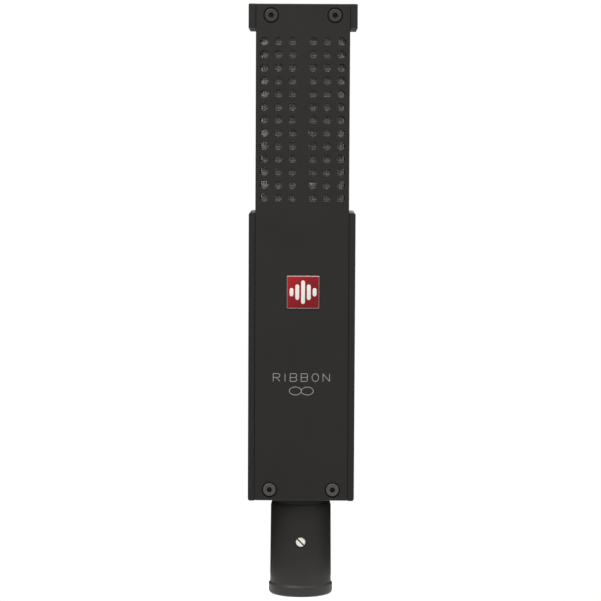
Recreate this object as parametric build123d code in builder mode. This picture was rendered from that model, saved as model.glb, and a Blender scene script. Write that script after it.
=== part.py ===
"""Ribbon microphone: a flat, bar-shaped housing with perforated front and rear plates around a
figure-eight ribbon motor, an active electronics bay below it and a round XLR tail.

Frame: +Z up along the microphone, +X to the right seen from the front, -Y out of the front.
The origin is the centre of the tail's open end. All sizes are millimetres.
"""
from build123d import *
from math import cos, pi, radians, sin, tan
import os

os.makedirs("parts", exist_ok=True)

# ---------------------------------------------------------------- driving dimensions
TOP_Z = 238.2               # top of the cap, so the whole length
EAR_HALF = 21.6             # half the width over the cap's ears
HALF_WIDTH = 21.3           # half the width over the cheeks
PLATE_HALF = 18.65          # half the width of the front and rear plates
PLATE_FACE = 17.0           # outer face of both plates, from the middle plane
PLATE_THICK = 2.0
PLATE_BACK = PLATE_FACE - PLATE_THICK
PLATE_LOW_Z, PLATE_TOP_Z = 40.1, 238.0
CHEEK_FACE = 16.4           # the cheeks and ears stop this much short of the plates' faces
CHEEK_STEP = 18.8           # where a cheek steps down to let the plate in
WALL_INNER = 17.2           # inner wall of both side frames
HEAD_HALF = 18.65           # half the width of the head, over the side frames' thin upper part
BODY_LOW_Z = 39.9           # lower end of the cheeks and the bottom block
SHOULDER_Z = 155.5          # top of the full-width cheeks
CAP_LOW_Z = 228.6           # lower face of the cap
CAP_CORNER, CHEEK_CORNER = 0.5, 0.9
TONGUE_HALF, TONGUE_TALL, TONGUE_PLAY = 10.0, 3.0, 0.05

# grille
HOLE_ROWS, HOLE_PITCH_Z, HOLE_MID_Z = 13, 5.165, 192.4
HOLE_COLUMNS_X = (4.08, 9.67, 15.26)
HOLE_RADIUS = 1.67
POCKET_HALF, POCKET_LOW_Z, POCKET_TOP_Z, POCKET_DEEP = 17.1, 159.0, 227.5, 0.6
MESH_THICK, MESH_EDGE = 0.34, 0.1

# plate screws, M3 with a low socket head in a counterbore
SCREW_X, SCREW_TOP_Z, SCREW_LOW_Z = 12.65, 233.6, 44.4
SCREW_RADIUS, SCREW_HOLE_RADIUS, SCREW_REACH, SCREW_HOLE_DEEP = 1.5, 1.6, 7.3, 7.5
SCREW_HEAD_RADIUS, SCREW_HEAD_TALL, SCREW_HEAD_ROUND = 2.65, 1.2, 0.4
COUNTERBORE_RADIUS, COUNTERBORE_DEEP, SOCKET_ACROSS, SOCKET_DEEP = 3.15, 1.35, 2.0, 0.8

# blocks and side screws
BLOCK_TOP_Z = 50.2
BULKHEAD_LOW_Z, BULKHEAD_TOP_Z = 150.0, 154.0
SIDE_SCREW_Y, SIDE_SCREW_Z = 5.5, (45.2, 152.0)
SIDE_SCREW_RADIUS, SIDE_HOLE_RADIUS, SIDE_HEAD_RADIUS, SIDE_HEAD_SUNK = 1.25, 1.3, 2.3, 0.15
SIDE_SCREW_LOW_REACH, SIDE_SCREW_TOP_REACH, SIDE_HOLE_EXTRA = 8.5, 12.0, 0.6
SIDE_SOCKET_ACROSS, SIDE_SOCKET_DEEP = 1.5, 0.8
LEAD_HOLE_X, LEAD_Y, LEAD_HOLE_RADIUS = 8.2, 8.6, 1.2

# tail, whose barrel widens slightly downwards
TAIL_TOP_RADIUS, TAIL_LOW_RADIUS, NECK_RADIUS, SPIGOT_RADIUS = 12.2, 12.45, 11.9, 10.8
LIP_RADIUS, LIP_TOP_Z = 13.0, 4.2
RING_Z, RING_SLOPE, RING_DROP, RELIEF_DEEP, RELIEF_TALL = 37.2, 1.3, 0.3, 0.4, 0.6
SPIGOT_TOP_Z = 56.0
BARREL_BORE, SPIGOT_BORE, BARREL_STEP_Z, MOUTH_CHAMFER = 9.6, 8.6, 31.0, 0.4
NUT_RADIUS, NUT_TOP_Z, NUT_GAP = 13.4, 53.7, 0.05
NUT_SLOT_WIDE, NUT_SLOT_LONG = 2.2, 2.4

# connector insert
SHELL_RADIUS, SOCKET_RADIUS, SHELL_BACK_RADIUS = 9.5, 8.1, 7.3
SHELL_LOW_Z, SOCKET_FLOOR_Z, SHELL_TOP_Z = 0.3, 17.5, 30.5
KEYWAY_WIDE, KEYWAY_TALL, KEYWAY_Z, KEYWAY_DEEP = 4.6, 3.4, 6.5, 0.8
PIN_RADIUS, PIN_CIRCLE, PIN_ANGLES, PIN_ROUND = 1.2, 5.4, (25, 155, 270), 0.9
PIN_LOW_Z, PIN_TOP_Z = 3.6, 35.0
TAB_WIDE, TAB_THICK, TAB_TALL, TAB_Y, TAB_HOLE_RADIUS, TAB_HOLE_UP = 3.0, 0.4, 5.5, 8.1, 0.7, 4.0
LOCK_Z, LOCK_RADIUS, LOCK_WINDOW, LOCK_CLEARANCE = 22.3, 2.0, 2.3, 0.05
LOCK_FACE, LOCK_INNER, LOCK_SLOT, LOCK_SLOT_DEEP = 11.9, 7.65, 0.65, 0.9

# ribbon motor
MOTOR_LOW_Z, MOTOR_TOP_Z, MOTOR_BAR = 157.0, 227.2, 4.5
FRAME_HALF, FRAME_INNER, FRAME_DEEP = 13.0, 10.5, 6.0
MAGNET_INNER, MAGNET_DEEP, POLE_INNER, POLE_TIP_DEEP, POLE_BACK = 5.3, 5.0, 2.6, 2.0, 0.7
MAGNET_LOW_Z, MAGNET_TOP_Z = 167.5, 216.7
RIBBON_HALF, RIBBON_THICK, RIBBON_WAVE, RIBBON_CREST = 2.3, 0.08, 2.0, 0.5
CLAMP_TALL, CLAMP_HALF, CLAMP_BASE_DEEP, CLAMP_BAR_DEEP, CLAMP_BAR_INSET = 4.6, 6.2, 5.0, 1.5, 0.4
CLAMP_SCREW_X, CLAMP_SCREW_IN, CLAMP_SCREW_RADIUS = 4.2, 3.0, 0.8
CLAMP_HEAD_RADIUS, CLAMP_HEAD_TALL, CLAMP_SCREW_REACH, CLAMP_SLOT = 1.4, 0.9, 4.3, 0.35
BASE_SCREW_X, BASE_SCREW_Y, BASE_SCREW_RADIUS, BASE_SCREW_BITE = 4.0, 2.5, 1.0, 1.3
BASE_HEAD_RADIUS, BASE_HEAD_TALL = 1.9, 1.6
PAD_HALF_X, PAD_HALF_Y = 12.0, 5.5

# transformer
CAN_HALF, CAN_FRONT, CAN_BACK, CAN_LOW_Z, CAN_WALL, CAN_CORNER = 12.0, -12.0, 6.0, 133.0, 0.8, 1.5
CAN_TAB, CAN_TAB_WIDE, CAN_TAB_THICK, CAN_SCREW_X = 3.8, 7.0, 1.2, 14.0
CAN_HEAD_RADIUS, CAN_HEAD_TALL, CAN_SCREW_BITE = 1.9, 1.5, 3.5
CORE_Y, CORE_WIDE, CORE_TALL, CORE_DEEP, CORE_LEG, CORE_WINDOW = -3.0, 19.0, 16.0, 8.0, 4.8, 4.7
BOBBIN_WALL, BOBBIN_HALF, FLANGE, FLANGE_PROUD = 0.5, 5.5, 0.6, 0.2
WINDING_X, WINDING_Y, WINDING_PLAY = 6.7, 7.4, 0.02
PRIMARY_Z, SECONDARY_X, SECONDARY_Z, TERMINAL_RADIUS, TERMINAL_OUT = 146.5, 5.0, 137.5, 0.5, 3.3

# circuit board and its components
BOARD_FRONT, BOARD_BACK, BOARD_LOW_Z, BOARD_TOP_Z, BOARD_HALF = 2.0, 3.6, 56.5, 126.0, 18.1
GROOVE_HALF, GROOVE_PLAY = 18.2, 0.05
POST_TALL, POST_RADIUS = 0.8, 1.0
POST_TOP_Z, POST_LOW_Z, POST_LOW_X = 120.0, 62.0, 4.9
RESISTOR_X, RESISTOR_Z, RESISTOR_RADIUS, RESISTOR_LONG = (-12, -4, 4, 12), (66, 72), 0.9, 4.0
LEAD_RADIUS, LEAD_OUT, RESISTOR_GAP = 0.25, 0.6, 0.05
TRANSISTOR_X, TRANSISTOR_Z, TRANSISTOR_RADIUS, TRANSISTOR_TALL = (-10.5, -3.5, 3.5, 10.5), 81, 2.3, 4.6
LEG_TALL, LEG_PITCH, LEG_WIDE, FLAT_DEEP = 2.0, 1.27, 0.45, 0.9
CAPACITOR_X, FILM_Z, FILM_WIDE, FILM_TALL, FILM_DEEP, FILM_ROUND = 8.5, 94, 12.0, 6.0, 9.0, 0.5
ELECTROLYTIC_Z, ELECTROLYTIC_RADIUS, ELECTROLYTIC_DEEP, SLEEVE_CHAMFER = 109, 4.0, 11.0, 0.4

# wires held inside the housing
WIRE_RADIUS, BAR_WIRE_Y, BAR_WIRE_IN = 0.35, -0.8, 1.2
OUTPUT_Y, OUTPUT_BEND_Z, OUTPUT_PIN_Z = 6.4, 50.0, 42.0

BADGE_HALF, BADGE_X, BADGE_Z, BADGE_PROUD, BADGE_CORNER, BADGE_CHAMFER = 6.52, 0.5, 123.9, 0.5, 0.4, 0.15


def save(part, name):
    """Label one finished piece and write its STEP file."""
    part.label = name
    export_step(part, f"parts/{name}.step")


def front_plane(y):
    """A plane facing out of the front at depth y, with its x along +X and its y along +Z."""
    return Plane(origin=(0, y, 0), x_dir=(1, 0, 0), z_dir=(0, -1, 0))


def back_plane(y):
    """A plane facing out of the back at depth y, with its x along -X and its y along +Z."""
    return Plane(origin=(0, y, 0), x_dir=(-1, 0, 0), z_dir=(0, 1, 0))


def face_plane(side, distance):
    """The front plane (side -1) or the back plane (side 1) at a distance from the middle."""
    return front_plane(-distance) if side < 0 else back_plane(distance)


def side_plane(side, distance):
    """A plane facing out of the left (side -1) or right (side 1) cheek, with its y along +Z."""
    return Plane(origin=(side * distance, 0, 0), x_dir=(0, side, 0), z_dir=(side, 0, 0))


def plate_screw_spots():
    return [(x, z) for z in (SCREW_LOW_Z, SCREW_TOP_Z) for x in (-SCREW_X, SCREW_X)]


def hole_spots():
    """The grille's holes in two groups of three columns, either side of a solid middle strip."""
    rows = [HOLE_MID_Z + (row - (HOLE_ROWS - 1) / 2) * HOLE_PITCH_Z for row in range(HOLE_ROWS)]
    return [(side * x, z) for z in rows for x in HOLE_COLUMNS_X for side in (-1, 1)]


def corner_radii(points):
    """An arc for each corner of a wire's route, as large as its two runs allow."""
    spots = [Vector(*point) for point in points]
    radii = []
    for before, corner, after in zip(spots, spots[1:], spots[2:]):
        run_in, run_out = corner - before, after - corner
        half_turn = radians(run_in.get_angle(run_out)) / 2
        radii.append(0.45 * min(run_in.length, run_out.length) / tan(half_turn))
    return radii


def wire_tube(points, radius):
    """One wire as a round tube along straight runs joined by tangent arcs, in the open part."""
    with BuildLine() as route:
        if len(points) > 2:
            FilletPolyline(*points, radius=corner_radii(points))
        else:
            Line(*points)
    with BuildSketch(Plane(origin=route.line @ 0, z_dir=route.line % 0)) as section:
        Circle(radius)
    sweep(section.sketch, path=route.line)
    return sum(edge.length for edge in route.line.edges())


def check_wires(name, part, radius, lengths):
    """Print a bundle's lengths and how its volume compares with section times length."""
    ideal = pi * radius**2 * sum(lengths)
    print(name, [round(length, 1) for length in lengths], "volume ratio", round(part.volume / ideal, 4))


# ---------------------------------------------------------------- housing: end blocks
with BuildPart() as top_cap:
    with BuildSketch(Plane.XY.offset(CAP_LOW_Z)):
        RectangleRounded(2 * EAR_HALF, 2 * CHEEK_FACE, CAP_CORNER)
    extrude(amount=TOP_Z - CAP_LOW_Z)
    fillet(top_cap.faces().sort_by(Axis.Z)[-1].edges(), CAP_CORNER)
    for side in (-1, 1):
        with BuildSketch(face_plane(side, PLATE_BACK)):
            with Locations((0, (CAP_LOW_Z + TOP_Z) / 2)):
                Rectangle(2 * CHEEK_STEP, 2 * TOP_Z)
        extrude(amount=PLATE_THICK, mode=Mode.SUBTRACT)
        with BuildSketch(face_plane(side, PLATE_BACK)):
            with Locations((-SCREW_X, SCREW_TOP_Z), (SCREW_X, SCREW_TOP_Z)):
                Circle(SCREW_HOLE_RADIUS)
        extrude(amount=-SCREW_HOLE_DEEP, mode=Mode.SUBTRACT)
        with BuildSketch(Plane.XY.offset(CAP_LOW_Z)):
            with Locations((side * (WALL_INNER + HEAD_HALF) / 2, 0)):
                Rectangle(HEAD_HALF - WALL_INNER + 2 * TONGUE_PLAY, 2 * (TONGUE_HALF + TONGUE_PLAY))
        extrude(amount=TONGUE_TALL + TONGUE_PLAY, mode=Mode.SUBTRACT)
save(top_cap.part, "top_cap")

with BuildPart() as bottom_block:
    with BuildSketch(Plane.XY.offset(BODY_LOW_Z)):
        Rectangle(2 * WALL_INNER, 2 * PLATE_BACK)
        Circle(SPIGOT_RADIUS + NUT_GAP, mode=Mode.SUBTRACT)
    extrude(amount=BLOCK_TOP_Z - BODY_LOW_Z)
    for side in (-1, 1):
        with BuildSketch(face_plane(side, PLATE_BACK)):
            with Locations((-SCREW_X, SCREW_LOW_Z), (SCREW_X, SCREW_LOW_Z)):
                Circle(SCREW_HOLE_RADIUS)
        extrude(amount=-SCREW_HOLE_DEEP, mode=Mode.SUBTRACT)
        with BuildSketch(side_plane(side, WALL_INNER)):
            with Locations((-SIDE_SCREW_Y, SIDE_SCREW_Z[0]), (SIDE_SCREW_Y, SIDE_SCREW_Z[0])):
                Circle(SIDE_HOLE_RADIUS)
        extrude(amount=HALF_WIDTH - WALL_INNER - SIDE_SCREW_LOW_REACH - SIDE_HOLE_EXTRA, mode=Mode.SUBTRACT)
save(bottom_block.part, "bottom_block")

with BuildPart() as bulkhead:
    with BuildSketch(Plane.XY.offset(BULKHEAD_LOW_Z)):
        Rectangle(2 * WALL_INNER, 2 * PLATE_BACK)
        with Locations((-LEAD_HOLE_X, LEAD_Y), (LEAD_HOLE_X, LEAD_Y)):
            Circle(LEAD_HOLE_RADIUS, mode=Mode.SUBTRACT)
        with Locations((-CAN_SCREW_X, CORE_Y), (CAN_SCREW_X, CORE_Y)):
            Circle(SIDE_HOLE_RADIUS, mode=Mode.SUBTRACT)
    extrude(amount=BULKHEAD_TOP_Z - BULKHEAD_LOW_Z)
    for side in (-1, 1):
        with BuildSketch(side_plane(side, WALL_INNER)):
            with Locations((-SIDE_SCREW_Y, SIDE_SCREW_Z[1]), (SIDE_SCREW_Y, SIDE_SCREW_Z[1])):
                Circle(SIDE_HOLE_RADIUS)
        extrude(amount=HALF_WIDTH - WALL_INNER - SIDE_SCREW_TOP_REACH - SIDE_HOLE_EXTRA, mode=Mode.SUBTRACT)
save(bulkhead.part, "bulkhead")


# ---------------------------------------------------------------- housing: side frames
def side_frame(side):
    """One cheek: thick and stepped below the shoulder, a thin wall beside the head."""
    with BuildPart() as frame:
        with BuildSketch(Plane.XY.offset(BODY_LOW_Z)):
            with Locations((side * (WALL_INNER + HALF_WIDTH) / 2, 0)):
                Rectangle(HALF_WIDTH - WALL_INNER, 2 * CHEEK_FACE)
        extrude(amount=SHOULDER_Z - BODY_LOW_Z)
        outer = frame.faces().sort_by(Axis.X)[-1 if side > 0 else 0]
        fillet(outer.edges(), CHEEK_CORNER)
        for facing in (-1, 1):
            with BuildSketch(face_plane(facing, PLATE_BACK)):
                with Locations((-facing * side * CHEEK_STEP / 2, SHOULDER_Z / 2)):
                    Rectangle(CHEEK_STEP, 2 * SHOULDER_Z)
            extrude(amount=PLATE_THICK, mode=Mode.SUBTRACT)
        with BuildSketch(Plane.XY.offset(SHOULDER_Z - 2)):
            with Locations((side * (WALL_INNER + HEAD_HALF) / 2, 0)):
                Rectangle(HEAD_HALF - WALL_INNER, 2 * PLATE_BACK)
        extrude(amount=CAP_LOW_Z - SHOULDER_Z + 2)
        with BuildSketch(Plane.XY.offset(CAP_LOW_Z)):
            with Locations((side * (WALL_INNER + HEAD_HALF) / 2, 0)):
                Rectangle(HEAD_HALF - WALL_INNER, 2 * TONGUE_HALF)
        extrude(amount=TONGUE_TALL)
        with BuildSketch(Plane.XY.offset(BOARD_LOW_Z - GROOVE_PLAY)):
            with Locations((side * (WALL_INNER + GROOVE_HALF) / 2, (BOARD_FRONT + BOARD_BACK) / 2)):
                Rectangle(GROOVE_HALF - WALL_INNER, BOARD_BACK - BOARD_FRONT + 2 * GROOVE_PLAY)
        extrude(amount=BULKHEAD_LOW_Z - BOARD_LOW_Z + GROOVE_PLAY, mode=Mode.SUBTRACT)
        spots = [(y, z) for z in SIDE_SCREW_Z for y in (-SIDE_SCREW_Y, SIDE_SCREW_Y)]
        with Locations(side_plane(side, HALF_WIDTH)):
            with Locations(*spots):
                CounterSinkHole(SIDE_HOLE_RADIUS, SIDE_HEAD_RADIUS + SIDE_HEAD_SUNK,
                                HALF_WIDTH - WALL_INNER, 90)
    return frame.part


save(side_frame(-1), "left_side_frame")
save(side_frame(1), "right_side_frame")


# ---------------------------------------------------------------- housing: plates and meshes
def plate(side):
    """A perforated, counterbored plate with a pocket in its back for the woven mesh."""
    with BuildPart() as panel:
        with BuildSketch(face_plane(side, PLATE_BACK)):
            with Locations((0, (PLATE_LOW_Z + PLATE_TOP_Z) / 2)):
                RectangleRounded(2 * PLATE_HALF, PLATE_TOP_Z - PLATE_LOW_Z, 0.5)
        extrude(amount=PLATE_THICK)
        chamfer(panel.faces().sort_by(Axis.Y)[0 if side < 0 else -1].edges(), 0.25)
        with BuildSketch(face_plane(side, PLATE_BACK)):
            with Locations((0, (POCKET_LOW_Z + POCKET_TOP_Z) / 2)):
                Rectangle(2 * POCKET_HALF, POCKET_TOP_Z - POCKET_LOW_Z)
        extrude(amount=POCKET_DEEP, mode=Mode.SUBTRACT)
        with BuildSketch(face_plane(side, PLATE_BACK)):
            with Locations(*hole_spots()):
                Circle(HOLE_RADIUS)
        extrude(amount=PLATE_THICK, mode=Mode.SUBTRACT)
        with Locations(face_plane(side, PLATE_FACE)):
            with Locations(*plate_screw_spots()):
                CounterBoreHole(SCREW_HOLE_RADIUS, COUNTERBORE_RADIUS, COUNTERBORE_DEEP, PLATE_THICK)
    return panel.part


def mesh_sheet(side):
    """The space that the woven wire mesh takes in a plate's pocket."""
    with BuildPart() as sheet:
        with BuildSketch(face_plane(side, PLATE_BACK + POCKET_DEEP)):
            with Locations((0, (POCKET_LOW_Z + POCKET_TOP_Z) / 2)):
                Rectangle(2 * (POCKET_HALF - MESH_EDGE), POCKET_TOP_Z - POCKET_LOW_Z - 2 * MESH_EDGE)
        extrude(amount=-MESH_THICK)
    return sheet.part


def plate_screws(side):
    """Four low-headed hex-socket screws, standing in one plate's counterbores."""
    seat = PLATE_FACE - COUNTERBORE_DEEP
    with BuildPart() as screws:
        with BuildSketch(face_plane(side, seat)):
            with Locations(*plate_screw_spots()):
                Circle(SCREW_HEAD_RADIUS)
        extrude(amount=SCREW_HEAD_TALL)
        head_faces = screws.faces().filter_by(Axis.Y).group_by(Axis.Y)[0 if side < 0 else -1]
        fillet(head_faces.edges(), SCREW_HEAD_ROUND)
        with BuildSketch(face_plane(side, seat)):
            with Locations(*plate_screw_spots()):
                Circle(SCREW_RADIUS)
        extrude(amount=-SCREW_REACH)
        with BuildSketch(face_plane(side, seat + SCREW_HEAD_TALL)):
            with Locations(*plate_screw_spots()):
                RegularPolygon(SOCKET_ACROSS / 2, 6, major_radius=False)
        extrude(amount=-SOCKET_DEEP, mode=Mode.SUBTRACT)
    return screws.part


for side, word in ((-1, "front"), (1, "rear")):
    save(plate(side), f"{word}_plate")
    save(mesh_sheet(side), f"{word}_mesh")
    save(plate_screws(side), f"{word}_plate_screws")

with BuildPart() as side_screws:
    for side in (-1, 1):
        for y in (-SIDE_SCREW_Y, SIDE_SCREW_Y):
            for z in SIDE_SCREW_Z:
                head = Plane(origin=(side * (HALF_WIDTH - SIDE_HEAD_SUNK), y, z), z_dir=(side, 0, 0))
                cone = SIDE_HEAD_RADIUS - SIDE_SCREW_RADIUS
                with BuildSketch(head):
                    Circle(SIDE_HEAD_RADIUS)
                extrude(amount=-cone, taper=45)
                with BuildSketch(head.offset(-cone)):
                    Circle(SIDE_SCREW_RADIUS)
                reach = SIDE_SCREW_TOP_REACH if z > SHOULDER_Z / 2 else SIDE_SCREW_LOW_REACH
                extrude(amount=-(reach - cone))
                with BuildSketch(head):
                    RegularPolygon(SIDE_SOCKET_ACROSS / 2, 6, major_radius=False)
                extrude(amount=-SIDE_SOCKET_DEEP, mode=Mode.SUBTRACT)
save(side_screws.part, "side_screws")

with BuildPart() as badge_plate:
    with BuildSketch(front_plane(-PLATE_FACE)):
        with Locations((BADGE_X, BADGE_Z)):
            RectangleRounded(2 * BADGE_HALF, 2 * BADGE_HALF, BADGE_CORNER)
    extrude(amount=BADGE_PROUD)
    chamfer(badge_plate.faces().sort_by(Axis.Y)[0].edges(), BADGE_CHAMFER)
save(badge_plate.part, "badge_plate")

# ---------------------------------------------------------------- tail
with BuildPart() as tail_barrel:
    with BuildSketch(Plane.XZ):
        with BuildLine():
            Polyline(
                (BARREL_BORE + MOUTH_CHAMFER, 0), (LIP_RADIUS - 0.7, 0), (LIP_RADIUS - 0.2, 0.3),
                (LIP_RADIUS, 0.9), (LIP_RADIUS, LIP_TOP_Z - 0.5), (TAIL_LOW_RADIUS, LIP_TOP_Z + 0.4),
                (TAIL_TOP_RADIUS, RING_Z - RING_SLOPE), (TAIL_TOP_RADIUS - RING_DROP, RING_Z),
                (NECK_RADIUS - RELIEF_DEEP, RING_Z), (NECK_RADIUS - RELIEF_DEEP, RING_Z + RELIEF_TALL),
                (NECK_RADIUS, RING_Z + RELIEF_TALL), (NECK_RADIUS, BODY_LOW_Z),
                (SPIGOT_RADIUS, BODY_LOW_Z),
                (SPIGOT_RADIUS, SPIGOT_TOP_Z), (SPIGOT_BORE, SPIGOT_TOP_Z),
                (SPIGOT_BORE, BARREL_STEP_Z), (BARREL_BORE, BARREL_STEP_Z), (BARREL_BORE, MOUTH_CHAMFER),
                close=True)
        make_face()
    revolve(axis=Axis.Z)
    with BuildSketch(front_plane(0)):
        with Locations((0, LOCK_Z)):
            Circle(LOCK_WINDOW)
    extrude(amount=LIP_RADIUS, mode=Mode.SUBTRACT)
save(tail_barrel.part, "tail_barrel")

with BuildPart() as barrel_nut:
    with BuildSketch(Plane.XY.offset(BLOCK_TOP_Z)):
        Circle(NUT_RADIUS)
        Circle(SPIGOT_RADIUS + NUT_GAP, mode=Mode.SUBTRACT)
        with PolarLocations(NUT_RADIUS, 6):
            Rectangle(NUT_SLOT_LONG, NUT_SLOT_WIDE, mode=Mode.SUBTRACT)
    extrude(amount=NUT_TOP_Z - BLOCK_TOP_Z)
save(barrel_nut.part, "barrel_nut")

with BuildPart() as connector_shell:
    with BuildSketch(Plane.XZ):
        with BuildLine():
            Polyline(
                (SOCKET_RADIUS + MOUTH_CHAMFER, SHELL_LOW_Z), (SHELL_RADIUS, SHELL_LOW_Z),
                (SHELL_RADIUS, SHELL_TOP_Z), (SHELL_BACK_RADIUS, SHELL_TOP_Z),
                (SHELL_BACK_RADIUS, SOCKET_FLOOR_Z), (SOCKET_RADIUS, SOCKET_FLOOR_Z),
                (SOCKET_RADIUS, SHELL_LOW_Z + MOUTH_CHAMFER), close=True)
        make_face()
    revolve(axis=Axis.Z)
    with BuildSketch(front_plane(0)):
        with Locations((0, LOCK_Z)):
            Circle(LOCK_RADIUS + LOCK_CLEARANCE)
    extrude(amount=SHELL_RADIUS + 1, mode=Mode.SUBTRACT)
    with BuildSketch(back_plane(0)):
        with Locations((0, KEYWAY_Z)):
            Rectangle(KEYWAY_WIDE, KEYWAY_TALL)
    extrude(amount=SOCKET_RADIUS + KEYWAY_DEEP, mode=Mode.SUBTRACT)
save(connector_shell.part, "connector_shell")

pin_spots = [(PIN_CIRCLE * cos(radians(a)), PIN_CIRCLE * sin(radians(a))) for a in PIN_ANGLES]

with BuildPart() as connector_insulator:
    with BuildSketch(Plane.XY.offset(SOCKET_FLOOR_Z)):
        Circle(SHELL_BACK_RADIUS - 0.05)
        with Locations(*pin_spots):
            Circle(PIN_RADIUS + 0.02, mode=Mode.SUBTRACT)
    extrude(amount=SHELL_TOP_Z - SOCKET_FLOOR_Z)
save(connector_insulator.part, "connector_insulator")

with BuildPart() as contact_pins:
    for x, y in pin_spots:
        with BuildSketch(Plane.XY.offset(PIN_LOW_Z)):
            with Locations((x, y)):
                Circle(PIN_RADIUS)
        extrude(amount=PIN_TOP_Z - PIN_LOW_Z)
    tips = contact_pins.edges().filter_by(GeomType.CIRCLE).group_by(Axis.Z)[0]
    fillet(tips, PIN_ROUND)
save(contact_pins.part, "contact_pins")

with BuildPart() as ground_tab:
    with BuildSketch(Plane.XY.offset(SHELL_TOP_Z)):
        with Locations((0, TAB_Y)):
            Rectangle(TAB_WIDE, TAB_THICK)
    extrude(amount=TAB_TALL)
    with BuildSketch(back_plane(0)):
        with Locations((0, SHELL_TOP_Z + TAB_HOLE_UP)):
            Circle(TAB_HOLE_RADIUS)
    extrude(amount=TAB_Y + TAB_THICK, mode=Mode.SUBTRACT)
save(ground_tab.part, "ground_tab")

with BuildPart() as lock_screw:
    with BuildSketch(front_plane(-LOCK_INNER)):
        with Locations((0, LOCK_Z)):
            Circle(LOCK_RADIUS)
    extrude(amount=LOCK_FACE - LOCK_INNER)
    chamfer(lock_screw.faces().sort_by(Axis.Y)[0].edges(), 0.2)
    with BuildSketch(front_plane(-LOCK_FACE)):
        with Locations(Location((0, LOCK_Z), -45)):
            Rectangle(2 * LOCK_RADIUS + 1, LOCK_SLOT)
    extrude(amount=-LOCK_SLOT_DEEP, mode=Mode.SUBTRACT)
save(lock_screw.part, "lock_screw")

# ---------------------------------------------------------------- ribbon motor
WINDOW_LOW_Z, WINDOW_TOP_Z = MOTOR_LOW_Z + MOTOR_BAR, MOTOR_TOP_Z - MOTOR_BAR
MOTOR_MID_Z = (MOTOR_LOW_Z + MOTOR_TOP_Z) / 2
CLAMP_ENDS = {"lower": (WINDOW_LOW_Z, 1), "upper": (WINDOW_TOP_Z, -1)}

with BuildPart() as motor_frame:
    with BuildSketch(front_plane(FRAME_DEEP)):
        with Locations((0, MOTOR_MID_Z)):
            RectangleRounded(2 * FRAME_HALF, MOTOR_TOP_Z - MOTOR_LOW_Z, 1.0)
            Rectangle(2 * FRAME_INNER, WINDOW_TOP_Z - WINDOW_LOW_Z, mode=Mode.SUBTRACT)
    extrude(amount=2 * FRAME_DEEP)
    for face_z, out in ((MOTOR_LOW_Z, -1), (MOTOR_TOP_Z, 1)):
        with Locations(Plane(origin=(0, BASE_SCREW_Y, face_z), x_dir=(1, 0, 0), z_dir=(0, 0, out))):
            with Locations((-BASE_SCREW_X, 0), (BASE_SCREW_X, 0)):
                CounterBoreHole(BASE_SCREW_RADIUS + 0.1, BASE_HEAD_RADIUS + 0.1,
                                BASE_HEAD_TALL + 0.1, MOTOR_BAR + 0.1)
save(motor_frame.part, "motor_frame")


def magnet(side):
    """One bar magnet on the inner side of the iron frame."""
    with BuildPart() as bar:
        with BuildSketch(Plane.XY.offset(MAGNET_LOW_Z)):
            with Locations((side * (MAGNET_INNER + FRAME_INNER) / 2, 0)):
                Rectangle(FRAME_INNER - MAGNET_INNER, 2 * MAGNET_DEEP)
        extrude(amount=MAGNET_TOP_Z - MAGNET_LOW_Z)
        chamfer(bar.edges(), 0.25)
    return bar.part


def pole_piece(side):
    """One pole piece, tapering from the magnet's depth to a narrow face at the ribbon."""
    with BuildPart() as pole:
        with BuildSketch(Plane.XY.offset(MAGNET_LOW_Z)):
            with BuildLine():
                Polyline(
                    (side * MAGNET_INNER, -MAGNET_DEEP),
                    (side * (MAGNET_INNER - POLE_BACK), -MAGNET_DEEP),
                    (side * POLE_INNER, -POLE_TIP_DEEP), (side * POLE_INNER, POLE_TIP_DEEP),
                    (side * (MAGNET_INNER - POLE_BACK), MAGNET_DEEP),
                    (side * MAGNET_INNER, MAGNET_DEEP), close=True)
            make_face()
        extrude(amount=MAGNET_TOP_Z - MAGNET_LOW_Z)
    return pole.part


for side, word in ((-1, "left"), (1, "right")):
    save(magnet(side), f"{word}_magnet")
    save(pole_piece(side), f"{word}_pole_piece")

RIBBON_FLAT = CLAMP_TALL + 0.4
waves = int((WINDOW_TOP_Z - WINDOW_LOW_Z - 2 * RIBBON_FLAT) / RIBBON_WAVE)
wave = (WINDOW_TOP_Z - WINDOW_LOW_Z - 2 * RIBBON_FLAT) / waves
middle = [(0, WINDOW_LOW_Z), (0, WINDOW_LOW_Z + RIBBON_FLAT)]
for i in range(waves):
    start_z = WINDOW_LOW_Z + RIBBON_FLAT + i * wave
    middle.append((-RIBBON_CREST, start_z + wave / 4))
    middle.append((RIBBON_CREST, start_z + 3 * wave / 4))
middle += [(0, WINDOW_TOP_Z - RIBBON_FLAT), (0, WINDOW_TOP_Z)]

with BuildPart() as ribbon:
    with BuildSketch(Plane(origin=(-RIBBON_HALF, 0, 0), x_dir=(0, 1, 0), z_dir=(1, 0, 0))):
        with BuildLine():
            Polyline(*[(y - RIBBON_THICK / 2, z) for y, z in middle])
            Polyline(*[(y + RIBBON_THICK / 2, z) for y, z in middle])
            for y, z in (middle[0], middle[-1]):
                Line((y - RIBBON_THICK / 2, z), (y + RIBBON_THICK / 2, z))
        make_face()
    extrude(amount=2 * RIBBON_HALF)
save(ribbon.part, "ribbon")


def clamp_screw_spots(end_z, inward):
    """Where the two clamp screws of one end stand, seen from the front."""
    return [(side * CLAMP_SCREW_X, end_z + inward * CLAMP_SCREW_IN) for side in (-1, 1)]


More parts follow.
